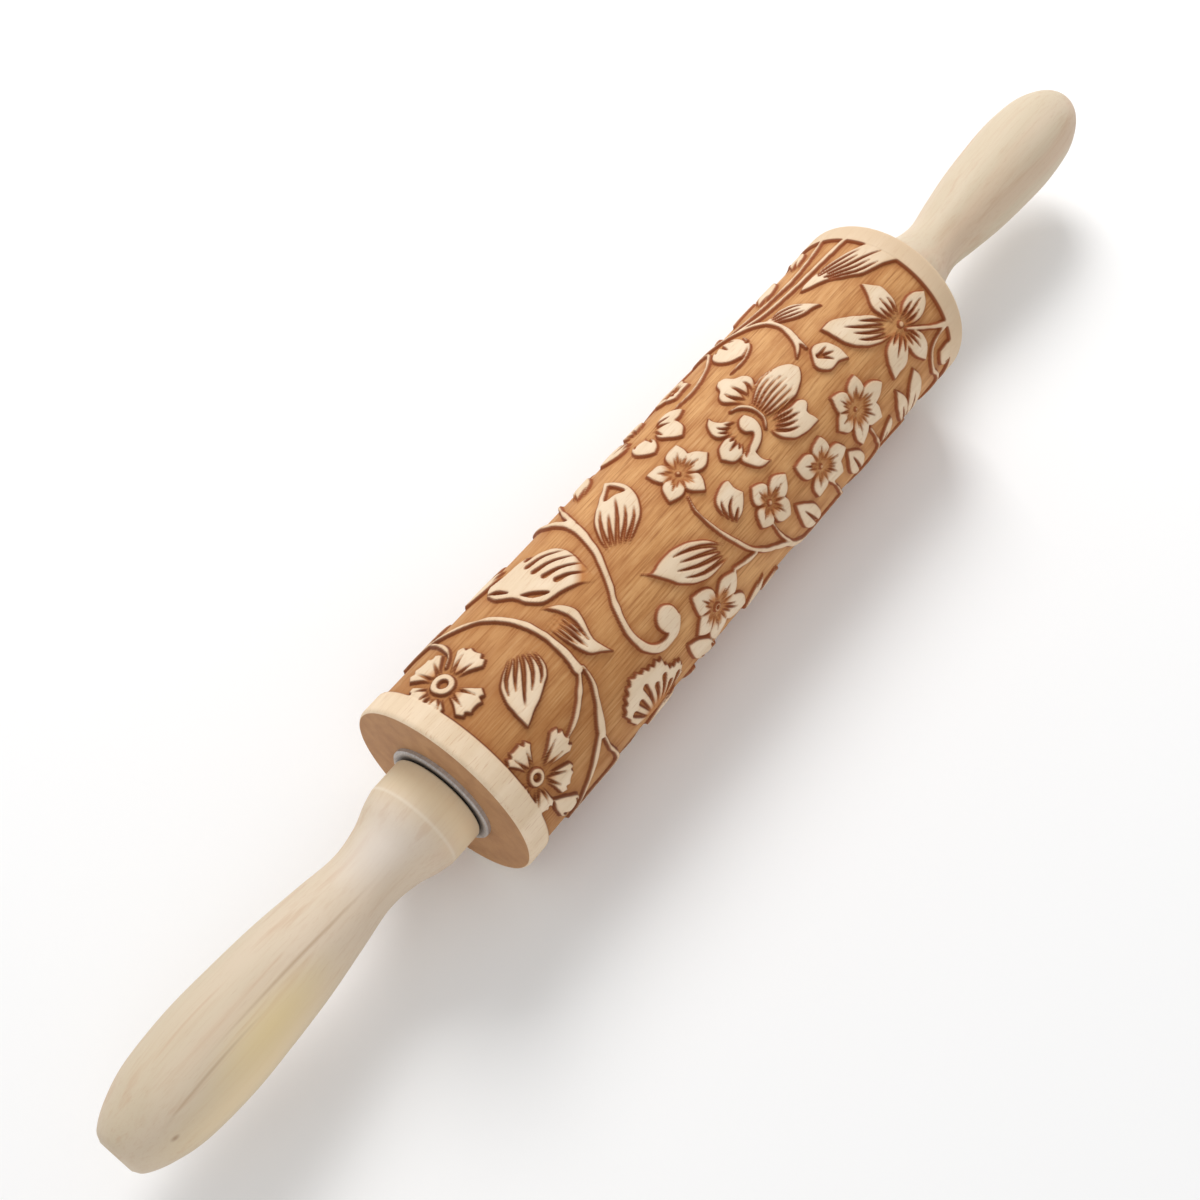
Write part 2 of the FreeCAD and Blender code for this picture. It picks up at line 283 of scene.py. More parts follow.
def wedge(centre, angle, near, far, half_spread, teeth=6, tooth=0.45, grooves=2, scoop=0.75, reach=0.7):
    """A fan-shaped petal with a notched outer edge. Angles are in degrees, from +x towards +s.

    far is the reach of its outer edge: one distance, or several at even steps round the edge.
    """
    centre = np.array(centre, float)
    angle = math.radians(angle)
    half_spread = math.radians(half_spread)
    turns = np.linspace(-1, 1, 2 * teeth + 1)
    notches = tooth * (np.arange(2 * teeth + 1) % 2)
    edge = edge_reach(far, turns)
    far = np.max(far)
    rounding = 0.08 * far * turns**4
    waves = 0.07 * far * np.cos(2 * math.pi * turns) ** 2
    rim_reach = edge - notches - rounding - waves

    def places(shares, reaches):
        """Points at shares of the half spread off the petal's middle, and at reaches from the centre."""
        turn = angle + np.asarray(shares) * half_spread
        return centre + np.column_stack([np.cos(turn), np.sin(turn)]) * np.asarray(reaches)[:, None]

    steps = np.linspace(0, 1, 5)[:-1]
    sides = near + (rim_reach[0] - near) * steps
    spreads = 0.75 + 0.25 * steps
    outline = np.vstack([places(-spreads, sides), places(turns, rim_reach), places(spreads, sides)[::-1]])
    index, x, s = window(outline)
    distance = inside_distance(x, s, outline)
    out = np.hypot(x - centre[0], s - centre[1])
    level = 1 - scoop * (1 - ramp((out - near) / (reach * (far - near))))
    for number, share in enumerate(np.linspace(-0.5, 0.5, grooves)):
        stop = near + (0.72 - 0.1 * (number % 2)) * (far - near)
        line = places([share * 0.8, share], [near, stop])
        gap = line_distance(x, s, line, [FAN_GROOVE_START, POINT_WIDTH])
        level = level - FAN_GROOVE_DEPTH * ramp(0.5 - gap / FAN_GROOVE_WALL)
    raise_shape(index, distance, np.maximum(level, 0.05))


def ringed_flower(centre, ring, petals):
    """A flower with a ring at its middle. Each petal is its angle, its length and its half spread."""
    for angle, length, half_spread in petals:
        wedge(centre, angle, ring * 1.05, length, half_spread, scoop=0.5, reach=0.55)
    pit(centre, ring * 1.28, 0.75)
    disc(centre, ring, 0.95)
    pit(centre, ring * 0.42)


def cut_line(points, start_width, depth=GROOVE_DEPTH):
    """A groove along a line, which tapers to nothing at its far end. start_width is a half-width."""
    line = np.array(points, float)
    index, x, s = window(line)
    gap = line_distance(x, s, line, np.linspace(start_width, POINT_WIDTH, len(line)))
    height[index] *= 1 - depth * ramp(0.5 - gap / GROOVE_WALL)


def star_flower(centre, tips, half_width, dot=0.7):
    """A flower of pointed petals. Each tip is measured from the flower's middle."""
    centre = np.array(centre, float)
    for tip in tips:
        petal(centre, centre + tip, half_width, peak=0.53, point=1.0, foot=0.3, grooves=0, scoop=0,
              pinch=0)
    # The wood is lower round the middle, with an uneven edge
    mean = sum(math.hypot(*tip) for tip in tips) / len(tips)
    index, x, s = window_round(centre, mean)
    out = np.hypot(x, s) / mean
    ripple = 0.1 * np.cos(2.5 * len(tips) * np.arctan2(s, x))
    height[index] *= 1 - 0.58 * (1 - ramp((out + ripple * out - 0.12) / 0.5))
    # A groove between each two petals, and three short ones along each petal
    turns = sorted(math.atan2(tip[1], tip[0]) for tip in tips)
    for turn, after in zip(turns, turns[1:] + [turns[0] + 2 * math.pi]):
        aim = np.array([math.cos((turn + after) / 2), math.sin((turn + after) / 2)])
        cut_line([centre + aim * 0.1 * mean, centre + aim * 0.6 * mean], 0.4, 0.8)
    for tip in tips:
        for share, reach in ((-0.16, 0.5), (0.02, 0.66), (0.2, 0.44)):
            aim = np.array([tip[0] - share * tip[1], tip[1] + share * tip[0]])
            cut_line([centre + aim * 0.16, centre + aim * reach], 0.34, 0.8)
    pit(centre, 1.6 * dot, 0.6)
    disc(centre, dot, 0.75)


def carve_pattern():
    """One repeat of the pattern."""
    carve_near_end()
    carve_large_leaf()
    carve_curled_stem()
    carve_long_leaf()
    carve_fan_flower()
    carve_small_flowers()
    carve_side_flower()
    carve_orchid()
    carve_far_end()
    carve_lily()
    carve_seam()


def carve_near_end():
    """The stem, flowers and leaf at the left end of the field."""
    # The main stem comes back to where it starts after one repeat
    vine([(-76, -40, 0.5), (-69.8, -34.4, 0.65), (-66.4, -29.6, 0.75), (-63, -25, 0.75),
          (-59.9, -20, 0.85), (-57.6, -13.5, 0.85), (-56.7, -7, 0.9), (-56.9, -0.5, 1.05),
          (-57.6, 3.8, 1.35)])
    vine([(-57.4, 4, 0.5), (-60, 6.8, 0.75), (-63.3, 9.5, 0.7), (-66.7, 11.6, 0.6), (-70, 12.8, 0.4)])
    vine([(-56.2, 4.2, 0.3), (-57, 8.3, 0.7), (-59.2, 12.8, 0.85), (-61.3, 16.8, 1.3),
          (-62.3, 19.4, 1.3)])
    vine([(-62.7, 18.6, 0.6), (-65.5, 22.3, 1.0), (-68.7, 26.4, 0.9), (-71.5, 30, 0.7), (-74, 35, 0.6)])
    vine([(-62, 19.4, 0.4), (-61.6, 25, 0.65), (-60, 30, 0.7), (-59.4, 35, 0.7), (-64, 39, 0.6),
          (-70, 39.6, 0.6), (-76, 39, 0.5)])
    vine([(-69.6, -34, 0.5), (-69.9, -29.6, 0.65), (-70.4, -25.6, 0.65), (-72, -22, 0.55),
          (-75, -20, 0.3)])
    ringed_flower((-79, -17), 2.9,
                  [(-76, 11, 31), (3, 11.2, 27), (92, 10.5, 29), (-148, 8.6, 28), (158, 8, 22)])
    ringed_flower((-81, 13.4), 2.1,
                  [(-8, 11.8, 21), (48, 10.8, 23), (-88, 8.8, 29), (110, 9.4, 24), (178, 7.4, 24)])
    leaf([(-65.4, -11.8), (-68.8, -9.2), (-72.4, -6.2), (-74.7, -2), (-75.3, 4.4)],
         [(-59.2, -9.2), (-59.7, -5), (-62.5, -1), (-67.5, 1.6), (-72.2, 3.1), (-75.3, 4.4)],
         grooves=5, end=0.76, width=0.55, fan=(0.12, 0.88), reach=0.3, pinch=0.5)
    leaf([(-73.2, 34), (-73.4, 29), (-76.4, 25), (-80.6, 21.2)],
         [(-77, 34), (-79.6, 30.4), (-80.8, 26), (-80.6, 21.2)], grooves=2, scoop=0.6)
    # A curled leaf beside the stem
    leaf([(-54.6, -12.4), (-54.9, -7), (-54.4, -1), (-53.4, 3.4), (-50.8, 5.4), (-48.2, 7.5)],
         [(-52, -13), (-48.7, -10), (-47.2, -5.6), (-48.5, -1.6), (-49.8, 2), (-49.2, 5), (-48.2, 7.5)],
         grooves=4, end=0.72, width=0.75, fan=(0.1, 0.62), reach=0.25, shorten=0.1)


# Each fold of the large leaf: its wide end, its bend and its thin end near the leaf's edge
LARGE_LEAF_FOLDS = [
    ((-41.6, -25.2), (-39.2, -24), (-37, -21.6)),
    ((-43.6, -23), (-39.8, -21.5), (-36.2, -17.8)),
    ((-44.4, -20), (-40.4, -18.4), (-36, -14.4)),
    ((-44.4, -16.8), (-40.8, -15.2), (-36.6, -11.6)),
    ((-43.8, -13.6), (-41, -12.2), (-37.6, -9)),
]


def carve_large_leaf():
    """The large leaf with a curled end and two slits."""
    leaf([(-38.9, -6.3), (-42, -8.3), (-46.2, -10.3), (-50.3, -12.1), (-52.4, -15.4), (-52.9, -19.4),
          (-54.7, -23.4), (-53.9, -27.6)],
         [(-38.3, -6.8), (-36.2, -11.8), (-35.2, -16.4), (-36.4, -20.8), (-39.2, -24.8), (-43, -27.2),
          (-48, -28.2), (-51.4, -29.6), (-53.9, -27.6)],
         grooves=0, reach=0.25, pinch=0.3)
    for fold in LARGE_LEAF_FOLDS:
        cut_line(smooth(fold), 0.66)
    hollow([(-53.6, -27.6), (-52.2, -25.6), (-51.9, -21.6), (-53.1, -24.2)])
    hollow([(-51.4, -18.2), (-49.4, -16.2), (-47.4, -12.8), (-50.4, -14.8)])


def carve_curled_stem():
    """The S-shaped stem with a curled end, and the drop-shaped bud beside it."""
    vine([(-28.6, -42, 0.6), (-29.4, -33, 0.85), (-29, -26, 0.95), (-29, -21.5, 1.3), (-31, -15, 1.1),
          (-33.7, -9.4, 0.9), (-37, -4.2, 0.9), (-40, 0, 0.9), (-42, 4.4, 0.9), (-42.7, 8.4, 1.0),
          (-41.8, 12.4, 1.2), (-39.4, 15.2, 1.25), (-36.2, 16.2, 1.3), (-33, 15.6, 1.5),
          (-30.8, 13.6, 1.2)])
    vine([(-19, -40, 0.5), (-23, -33, 0.65), (-25.8, -27.4, 0.75), (-28, -22, 0.8)])
    disc((-33, 12), 3.3)
    leaf([(-32.6, -4.6), (-31.2, -8.8), (-29.4, -13), (-26, -17), (-22, -19.8), (-17.6, -21.9),
          (-14.2, -24)],
         [(-32, -3.8), (-28, -5.6), (-23.6, -7.2), (-19, -9), (-15.3, -12.2), (-13.4, -15.8), (-13, -20),
          (-14.2, -24)],
         grooves=5, end=0.72, width=0.55, fan=(0.13, 0.87), reach=0.4, shorten=0.2, pinch=0.2)
    hollow([(-14.8, -22), (-17.2, -20.6), (-19.6, -19), (-17, -18.2), (-14.8, -16.8), (-14.6, -19.4)])


def carve_long_leaf():
    """The long grooved leaf, its stem and the flower beside it."""
    leaf([(-8.4, 11), (-9.9, 8.2), (-12.3, 5.6), (-16.6, 3.3), (-21, 1.8), (-25.4, 1.5), (-28.2, 2),
          (-30.4, 0.3)],
         [(-7, 16.4), (-12.5, 15), (-17, 13.7), (-21, 11.9), (-24.7, 8.9), (-27.2, 5.4), (-28.6, 3),
          (-30.4, 0.3)],
         grooves=4, end=0.74, width=0.55, fan=(0.18, 0.82), reach=0.3, start=0.06, shorten=0.2, pinch=0.5)
    vine([(-7.5, -3.6, 0.3), (-9, -0.2, 0.45), (-9, 4, 0.5), (-8.1, 8, 0.55), (-6.4, 12, 0.6),
          (-4, 16.4, 0.7), (-0.2, 20.6, 0.8), (4.2, 23.8, 0.85), (8.4, 27, 0.9), (12.4, 31, 0.9),
          (18, 35.6, 0.8), (26, 38, 0.7), (36, 37, 0.6)])
    vine([(-10.5, 17.2, 0.6), (-6.4, 18.5, 0.75), (-2.6, 19.2, 0.6)])
    star_flower((-19.2, 21.5), [(-5.6, -8.4), (8.8, -3.9), (10, 9.4), (-8.6, 1.2), (-2.6, 10)], 3.5,
                dot=1.1)
    pit((-19.2, 21.5), 0.45)


def carve_fan_flower():
    """A fan-shaped flower with a finely notched edge, and grooves that end short of the edge."""
    centre = np.array([-44.6, 36])
    angle = -89
    half_spread = 48
    reaches = [15, 22.4, 21.2, 17.2, 16.6]
    wedge(centre, angle, 4, reaches, half_spread, teeth=17, tooth=1.1, grooves=0, scoop=0.6, reach=0.5)
    for number, share in enumerate(np.linspace(-0.7, 0.8, 7)):
        turn = math.radians(angle + half_spread * share)
        aim = np.array([math.cos(turn), math.sin(turn)])
        start = edge_reach(reaches, share) * (0.74 - 0.1 * (number % 2))
        cut_line([centre + start * aim, centre + 6 * aim], 0.7)


def carve_small_flowers():
    """The small flowers and buds of the middle, and their stems."""
    petal((-20.5, 38), (-31.4, 22.2), 2.9, grooves=2)
    star_flower((-3.8, -9.3), [(-4.9, -5.6), (6.7, -5.6), (9.3, 2.1), (0.5, 7.8), (-8, 3.4)], 2.8)
    # Small cup-shaped bud
    leaf([(-5.9, 8.6), (-5.4, 5), (-4, 1.9), (-1.2, 0.7), (2.6, 0.5), (2.4, 3), (3.6, 5.3)],
         [(-3.2, 10.2), (-1, 9.1), (1.2, 7.4), (3.6, 5.3)],
         grooves=3, end=0.62, width=0.45, fan=(0.20, 0.80), reach=0.3)
    star_flower((7.7, 12.4), [(-1.9, -6.4), (8.3, -2.2), (4, 7.4), (-6, 3)], 3.2)
    vine([(5.4, 16.8, 0.35), (6.4, 21, 0.5), (8.4, 25, 0.55), (11, 29, 0.5)])
    star_flower((26.5, 17), [(-7.4, -5.9), (3.8, -6.7), (9.9, 1.8), (6.8, 7.6), (-4, 6.8)], 3.2)
    vine([(28, 22.6, 0.35), (31, 28.2, 0.5), (33.5, 33, 0.55), (36, 37, 0.5)])
    petal((25, 37.5), (14, 18.7), 3.1, grooves=1, end=0.8)


def carve_side_flower():
    """A flower seen from the side, with a trailing stem."""
    leaf([(2.4, -26.6), (-1.2, -26.2), (-3.8, -23), (-2.9, -19.2), (-1.4, -17.7)],
         [(3.8, -24), (2.4, -21), (0.8, -19), (-1.4, -17.7)], grooves=2, scoop=0.7, reach=0.4)
    leaf([(4.4, -25), (3.3, -20.6), (4.3, -17.4), (6.2, -15)],
         [(6.8, -25), (9.6, -21.6), (9.4, -17.6), (6.2, -15)], grooves=2, scoop=0.7, reach=0.4)
    petal((6.4, -25.6), (14.2, -21.2), 2.5, grooves=1, scoop=0.7)
    petal((3.4, -29), (-7.4, -33.4), 3.4, grooves=3)
    petal((4.6, -30), (9, -38.6), 3.4, grooves=3)
    vine([(12, -24.4, 0.3), (20, -23.6, 0.5), (26, -24.8, 0.55), (31.5, -27.5, 0.6), (37, -33, 0.6),
          (36, -41, 0.5)])


def carve_orchid():
    """The large flower with a curled lip inside an arc."""
    leaf([(23.2, -7.6), (25.8, -9), (28.8, -10.1), (32.6, -10.3), (36.6, -9), (39.4, -7), (40.2, -4.8)],
         [(23.2, -2.4), (26, -1.5), (29.6, -1), (33, -0.8), (36, -1.6), (38.6, -3.1), (40.2, -4.8)],
         grooves=7, end=0.7, width=0.24, fan=(0.05, 0.95), scoop=0.35, reach=0.2, shorten=0.15, pinch=0)
    leaf([(22, -1.4), (25.6, -0.7), (29, 0), (32, 0.3), (33.9, 1.4), (33.7, 3), (31.9, 4.1), (32.4, 5.4),
          (33.1, 7.6)],
         [(21, -0.4), (21, 2.4), (22.8, 5), (26, 6.8), (29.6, 7.6), (33.1, 7.6)],
         grooves=4, end=0.62, width=0.5, fan=(0.16, 0.74), scoop=0.35, reach=0.25, pinch=0)
    leaf([(22.6, -9), (20.8, -11), (19.6, -13.2), (20.4, -15.2), (22.4, -16.2), (23.4, -18), (25, -18.9)],
         [(25.8, -9), (28.6, -9.9), (30.2, -12), (29.6, -14.4), (27.8, -15.6), (27, -17.8), (25, -18.9)],
         grooves=3, end=0.6, width=0.6, fan=(0.22, 0.78), scoop=0.6, reach=0.36, pinch=0.1)
    leaf([(14.6, -5.8), (11.2, -6.6), (9.7, -8.8), (11.1, -11.8), (13.9, -13.4)],
         [(18.8, -7.6), (16.2, -8.6), (14.2, -10.1), (13.5, -11.8), (13.9, -13.4)],
         grooves=3, end=0.6, width=0.42, fan=(0.25, 0.75), scoop=0.65, reach=0.45)
    leaf([(14.6, -5.4), (11, -6.4), (7.5, -6), (5.5, -3.6)],
         [(14.2, -2.6), (11, -0.9), (7.7, -0.9), (5.5, -3.6)],
         grooves=3, end=0.55, width=0.4, fan=(0.22, 0.78), scoop=0.65, reach=0.4)
    leaf([(16, -2.8), (12.4, -1.1), (9.2, -0.2), (9.7, 2.3), (11.6, 4.6), (15.5, 5.4)],
         [(15.4, -1.2), (13.7, 0.7), (13.4, 2.6), (14, 4.1), (15.5, 5.4)],
         grooves=2, end=0.55, width=0.42, fan=(0.30, 0.70), scoop=0.6, reach=0.35)
    pit((20.6, -5.4), 2.7, 0.9)
    vine([(18.6, -10.1, 0.3), (20.9, -9, 0.45), (22.5, -6.2, 0.5), (22.3, -3, 0.5), (20.4, -0.8, 0.35)])
    blob([(19.6, -7.2), (17.4, -7), (15.7, -5.6), (15.7, -3.8), (16.9, -2.4), (15, -1.2), (12.6, -0.4),
          (12.2, 1), (14.4, 1.1), (17.2, 0.2), (19.4, -1.4), (20.4, -4.2)])


def carve_far_end():
    """The stems, buds and leaves up to the right end of the field."""
    leaf([(38.6, -31), (34.2, -28.4), (31.8, -24.4), (32.4, -21), (35.4, -18.6)],
         [(40.6, -30.4), (42, -26.6), (41.4, -22.8), (39.4, -19.8), (35.4, -18.6)],
         grooves=3, end=0.5, width=0.5, scoop=0.5)
    vine([(29.4, -17.8, 0.25), (32, -17.6, 0.5), (35, -17.7, 0.5), (38.4, -18.8, 0.5), (41, -21, 0.45),
          (42.4, -23.6, 0.3)])
    pit((32.4, -19.4), 1.0)
    pit((41, -20.9), 0.7)
    vine([(36, -40, 0.6), (40, -34, 0.65), (44, -28.2, 0.7), (47.2, -23.8, 0.75), (48.8, -19.6, 0.8),
          (48.5, -15, 0.85), (46.7, -10.6, 1.2)])
    vine([(46.8, -11, 0.9), (45, -8.8, 0.9), (42.2, -6.9, 0.3)])
    vine([(47, -11, 0.8), (46.6, -9, 0.7), (46.2, -6.9, 0.25)])
    vine([(45, -27.4, 0.8), (51, -24.2, 0.7), (58, -22.8, 0.7), (68, -21.8, 0.75), (77, -21.4, 0.8),
          (87, -20.6, 0.8)])
    vine([(44, -30, 0.5), (54, -27, 0.6), (66, -25.6, 0.65), (78, -27, 0.65), (88, -30, 0.6)])
    leaf([(48.8, -21.6), (51.4, -20.8), (54.4, -19.9), (56.9, -18.2), (58.5, -15.4), (60.4, -11.6)],
         [(48.4, -19.8), (50.4, -17.2), (52.4, -15), (55, -13.5), (57.6, -12.8), (60.4, -11.6)],
         grooves=3, end=0.74, width=0.36, fan=(0.22, 0.78), scoop=0.2, reach=0.3, start=0.2, shorten=0.15,
         pinch=0)
    leaf([(62.2, -19.7), (66, -20), (70, -19.6), (76, -18.2), (82, -15.8), (88, -12)],
         [(62.2, -19), (65, -17.4), (68.4, -15.4), (71.4, -12.4), (75, -9.2), (81, -6.8), (88, -3)],
         grooves=5, end=0.85, width=0.4, fan=(0.14, 0.86), scoop=0, start=0.35, shorten=0.15, pinch=0)
    leaf([(44.8, -4.4), (43.2, -2.2), (43.8, 0.2), (45.6, 1.6), (48.6, 1.8), (52, 3)],
         [(46, -5.4), (48, -5.7), (50.6, -4.4), (51.8, -1.6), (52, 3)], grooves=0, scoop=0, pinch=0)
    for tip in ((49.6, -3.3), (50, -1), (48.4, 0.4)):
        cut_line([(45.9, -3), tip], 0.5)
    star_flower((44.4, 13.5),
                [(-4.8, -7.4), (5.2, -7), (11.8, 0.4), (7.6, 8.6), (-2, 10.2), (-8.6, 0.2)], 3.0)
    vine([(46.6, 21.4, 0.4), (49, 27.2, 0.55), (51, 33, 0.55), (48, 38, 0.5), (42, 44, 0.5)])
    petal((43.6, 35.5), (36.2, 20.2), 3.0, grooves=1, end=0.8)
    # Open bud
    leaf([(63.4, 37), (60.3, 30.6), (58.7, 25), (59.2, 19.2)],
         [(64.4, 37), (63.8, 30), (62.8, 24.5), (59.2, 19.2)], grooves=1, end=0.7)
    leaf([(64, 37), (63.8, 29), (64.6, 22.8), (67.8, 18.4)],
         [(66, 37), (69.6, 30.6), (70.2, 24), (67.8, 18.4)], grooves=1, end=0.7)
    vine([(64.8, 36, 0.7), (62, 39.4, 0.6), (56, 41, 0.6), (50, 44, 0.5)])


def carve_lily():
    """The large flower of five petals near the right end, and its stem."""
    leaf([(69, 7.8), (64, 7.2), (58.9, 4.9), (55.3, 1.4), (53.8, -2.2), (53, -7.3)],
         [(69.8, 5.4), (67, 0.9), (64, -1.9), (60.6, -4.7), (57, -6.8), (53, -7.3)],
         grooves=4, end=0.74, width=0.6, fan=(0.20, 0.80), scoop=0.62, reach=0.38, pinch=0.1)
    leaf([(69.8, 5.8), (68, 1.6), (67.9, -1.5), (70, -4.3), (72, -7.5)],
         [(72, 5.8), (74.3, 2), (75, -2.8), (73.8, -5), (72, -7.5)],
         grooves=3, end=0.56, width=0.42, fan=(0.22, 0.78), scoop=0.62, reach=0.45, pinch=0)
    leaf([(71.8, 6), (75.2, 4.1), (79.4, 3.6), (83.6, 5.9)],
         [(71.8, 8.2), (75.2, 9.8), (79, 9.8), (81.8, 8.2), (83.6, 5.9)],
         grooves=3, end=0.75, width=0.36, fan=(0.26, 0.74), scoop=0.62, reach=0.45, pinch=0)
    leaf([(70.4, 7.6), (66.4, 7.7), (62.5, 8.9), (60.4, 11.6), (60, 16.5)],
         [(70.8, 9), (68.9, 13.2), (65.6, 16), (62.6, 16.2), (60, 16.5)],
         grooves=3, end=0.58, width=0.4, fan=(0.20, 0.80), scoop=0.62, reach=0.5, pinch=0)
    leaf([(70.4, 8.2), (69, 13.2), (70.3, 17.3), (73.2, 20.4)],
         [(71.9, 8.4), (75, 12.8), (75.6, 16.6), (73.2, 20.4)],
         grooves=3, end=0.62, width=0.36, fan=(0.26, 0.74), scoop=0.62, reach=0.5, pinch=0)
    vine([(71.6, 9.2, 0.5), (75.8, 12, 0.65), (80, 14.8, 0.75), (86, 18, 1.1)])
    disc((71, 7.2), 0.9, 0.8)
    vine([(87, 17.6, 0.5), (81, 17.8, 0.7), (77, 19.4, 0.7), (75.7, 22.6, 0.7), (76.4, 26.6, 0.7),
          (79.2, 30.6, 0.7), (81, 36, 0.6), (78, 42, 0.5)])
    petal((88, 30), (79.4, 22.6), 3.6, grooves=2)


def carve_seam():
    """A flower and leaves that fill the gaps where one repeat meets the next."""
    star_flower((21, -32), [(-5, -2.6), (0.6, -5.6), (5.6, -1), (3, 4.4), (-3, 4.6)], 2.4)
    petal((-21.5, -27.5), (-10.5, -35.5), 2.6, grooves=2)
    petal((52, 33.5), (55.6, 24.5), 2.0, grooves=1)
    petal((-43, -31.5), (-56.5, -35.5), 2.7, grooves=2)
    petal((-36, 31), (-47, 38), 2.9, grooves=2)
    petal((-0.5, 26.5), (-8, 37), 2.4, grooves=2)
    petal((5.5, 31.5), (-0.5, 38.2), 2.0, grooves=1)
    petal((55, -29.5), (69, -35), 3.0, grooves=2)
    petal((72, -29.5), (82.5, -35.5), 2.3, grooves=1)


STEEP = 1.3  # slope at which a wall is scorched most, in heights a millimetre
BURN_CURVE = 1.5
BURN_BLUR = 0.06
BURN_GAIN = 1.5
SHADE_BESIDE_WIDTH = 1.3  # how far the painted shade reaches into the ground beside a raised shape
EDGE_SHADE_WIDTH = 0.7  # how far the painted shade reaches into the raised shape's top edge
SHADE_GAIN = 1.6


def finish_height_map():
    """Clears the plain bands at the ends, and returns how scorched each place is and how much painted
    shade it gets beside the raised shapes and along their top edges.
    """
    border = np.abs(grid_x)[None, :] - FIELD_END
    height[:] = np.maximum(height * (1 - ramp(border / WALL + 0.5)), ramp(border / WALL + 0.5))
    slope_s = (np.roll(height, -1, 0) - np.roll(height, 1, 0)) / (2 * STEP_S)
    slope_x = np.gradient(height, grid_x, axis=1)
    wall = np.clip(np.hypot(slope_s, slope_x) / STEEP, 0, 1)
    burn = np.clip(blur(wall**BURN_CURVE * (1 - 0.5 * height), BURN_BLUR) * BURN_GAIN, 0, 1)
    raised = (height > 0.5).astype(float)
    # Painted shade on the ground beside each raised shape, and on each raised shape's top near its edge
    beside = np.clip(blur(raised, SHADE_BESIDE_WIDTH) * SHADE_GAIN, 0, 1)
    edge = np.clip(blur(1 - raised, EDGE_SHADE_WIDTH) * SHADE_GAIN, 0, 1)
    shade = beside * (1 - raised) + edge * raised
    return burn, shade


# ---------------------------------------------------------------- meshes


def finish_mesh(name, mesh, smooth_faces=True):
    """Links a mesh to the scene as an object."""
    mesh.polygons.foreach_set("use_smooth", [smooth_faces] * len(mesh.polygons))
    mesh.update()
    piece = bpy.data.objects.new(name, mesh)
    bpy.context.scene.collection.objects.link(piece)
    return piece


def turned_mesh(name, grid, closed_ends, sharp_rings):
    """A surface from a grid of points in millimetres: a ring of points for each place along it.

    closed_ends joins the last ring to the first one, as on a piece with a hole through it. Otherwise
    a flat face closes each of the two. The sharp rings are the crisp edges.
    """
    rings, around, _ = grid.shape
    corner = np.arange(rings * around).reshape(rings, around)
    nxt = np.roll(corner, -1, 1)
    far = np.roll(corner, -1, 0)
    far_nxt = np.roll(nxt, -1, 0)
    quads = np.stack([corner, nxt, far_nxt, far], -1)
    if not closed_ends:
        quads = quads[:-1]
    corners = quads.ravel()
    starts = np.arange(0, len(corners), 4)
    if not closed_ends:
        starts = np.r_[starts, len(corners), len(corners) + around]
        corners = np.r_[corners, corner[0, ::-1], corner[-1]]
    mesh = bpy.data.meshes.new(name)
    mesh.vertices.add(rings * around)
    mesh.vertices.foreach_set("co", (grid * MM).astype(np.float32).ravel())
    mesh.loops.add(len(corners))
    mesh.loops.foreach_set("vertex_index", corners.astype(np.int32))
    mesh.polygons.add(len(starts))
    mesh.polygons.foreach_set("loop_start", starts.astype(np.int32))
    mesh.update(calc_edges=True)
    ends = np.empty(2 * len(mesh.edges), np.int32)
    mesh.edges.foreach_get("vertices", ends)
    ring_a, ring_b = ends[::2] // around, ends[1::2] // around
    sharp = mesh.attributes.new("sharp_edge", "BOOLEAN", "EDGE")
    sharp.data.foreach_set("value", (ring_a == ring_b) & np.isin(ring_a, list(sharp_rings)))
    return finish_mesh(name, mesh)


def store(piece, name, values):
    """Keeps one number a vertex on a mesh, for its material."""
    kept = piece.data.attributes.new(name, "FLOAT", "POINT")
    kept.data.foreach_set("value", np.asarray(values, np.float32).ravel())


def roller_rings():
    """The rings of points of the plain roller: the x and the radius of each, and which are crisp.

    They run along the side, over the right rim and end face, back through the bore, and out over
    the left end face and rim.
    """
    rim_radius = (RIM_LENGTH**2 + RIM_DROP**2) / (2 * RIM_DROP)
    turn = np.linspace(0, math.asin(RIM_LENGTH / rim_radius), RIM_STEPS + 1)[1:]
    rim_x = SIDE_END + rim_radius * np.sin(turn)
    rim_r = RADIUS - rim_radius * (1 - np.cos(turn))
    end_x = np.r_[rim_x, FACE, FACE, FACE, FACE - SEAT_DEPTH, FACE - SEAT_DEPTH, 0]
    face_r = [RADIUS - RIM_DROP - ARRIS, FACE_RING, SEAT_RADIUS]
    end_r = np.r_[rim_r, face_r, SEAT_RADIUS, BORE_RADIUS, BORE_RADIUS]
    rings_x = np.r_[grid_x, end_x, -end_x[-2::-1]]
    rings_r = np.r_[np.full(COLUMNS, RADIUS), end_r, end_r[-2::-1]]
    arris = COLUMNS + RIM_STEPS - 1
    seat = arris + len(face_r)
    crisp = [arris, seat, seat + 1, seat + 2]
    crisp += [len(rings_x) - 1 - (ring - COLUMNS) for ring in crisp]
    return rings_x, rings_r, crisp


